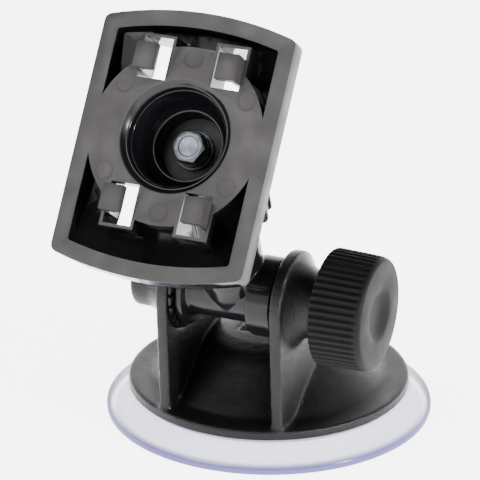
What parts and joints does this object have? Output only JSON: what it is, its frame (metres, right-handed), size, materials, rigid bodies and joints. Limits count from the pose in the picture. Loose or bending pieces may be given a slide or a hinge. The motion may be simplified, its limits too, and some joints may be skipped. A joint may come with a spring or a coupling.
{
  "type": "windscreen holder for a dash camera",
  "caption": "Suction cup windscreen holder for a dash camera: clear cup with a rear lever, round foot with two cheeks, knob-clamped tilting arm, ball joint with locking collar, and a claw plate.",
  "frame": {"origin": "centre of the suction face, on the plane of the cup's lip", "axes": "+Z away from the glass, +X along the tilt axis towards the clamping knob, -Y the side that the claw plate faces"},
  "size_m": [0.088, 0.1263, 0.1268],
  "materials": {
    "clear_pvc": "soft clear, bluish at the rim",
    "black_abs": "spark textured",
    "black_gloss": "semi gloss",
    "nylon": "satin",
    "zinc_steel": "zinc plated"
  },
  "bodies": {
    "foot": {"foot_shell": "black_abs", "suction_cup": "clear_pvc", "wear_plate": "zinc_steel", "tilt_nut": "zinc_steel", "detent_ring": "black_gloss", "friction_washer": "nylon", "knob_washer": "zinc_steel"},
    "stem": {"stem": "nylon", "lever_pin": "zinc_steel"},
    "lever": {"cam_lever": "black_abs"},
    "knob": {"knob": "black_gloss", "tilt_screw": "zinc_steel"},
    "arm": {"arm": "black_gloss", "clamp_ring": "nylon"},
    "collar": {"lock_collar": "black_gloss"},
    "seat": {"ball_seat": "nylon"},
    "ball": {"swivel_ball": "black_gloss", "plate_nut": "zinc_steel"},
    "plate": {"claw_plate": "black_gloss", "plate_bolt": "zinc_steel", "spring_washer": "zinc_steel", "plate_washer": "zinc_steel"}
  },
  "joints": [
    {"name": "arm_tilt", "type": "hinge", "parent": "foot", "child": "arm", "pos_m": [0, -0.0222, 0.0427], "axis": [1, 0, 0], "range_deg": [-50, 35]},
    {"name": "knob_turn", "type": "hinge", "parent": "foot", "child": "knob", "pos_m": [0, -0.0222, 0.0427], "axis": [1, 0, 0], "range_deg": [-30, 540]},
    {"name": "stem_slide", "type": "slide", "parent": "foot", "child": "stem", "axis": [0, 0, 1], "range_m": [-0.003, 0], "deforming": ["suction_cup"]},
    {"name": "lever_flip", "type": "hinge", "parent": "stem", "child": "lever", "pos_m": [0, 0, 0.017], "axis": [1, 0, 0], "range_deg": [0, 90]},
    {"name": "collar_turn", "type": "hinge", "parent": "arm", "child": "collar", "pos_m": [0, -0.0382, 0.08438], "axis": [0, -0.3584, 0.9336], "range_deg": [0, 270]},
    {"name": "swivel_turn", "type": "hinge", "parent": "arm", "child": "seat", "pos_m": [0, -0.0382, 0.08438], "axis": [0, -0.3584, 0.9336], "continuous": true},
    {"name": "ball_nod", "type": "hinge", "parent": "seat", "child": "ball", "pos_m": [0, -0.0382, 0.08438], "axis": [1, 0, 0], "range_deg": [-70, 3]},
    {"name": "plate_turn", "type": "hinge", "parent": "ball", "child": "plate", "pos_m": [0, -0.06129, 0.10039], "axis": [0, -0.8217, 0.5698], "range_deg": [-90, 90]}
  ],
  "couplings": [
    {"joint": "lever_flip", "follows": "stem_slide", "rad_per_m": -523.59}
  ]
}
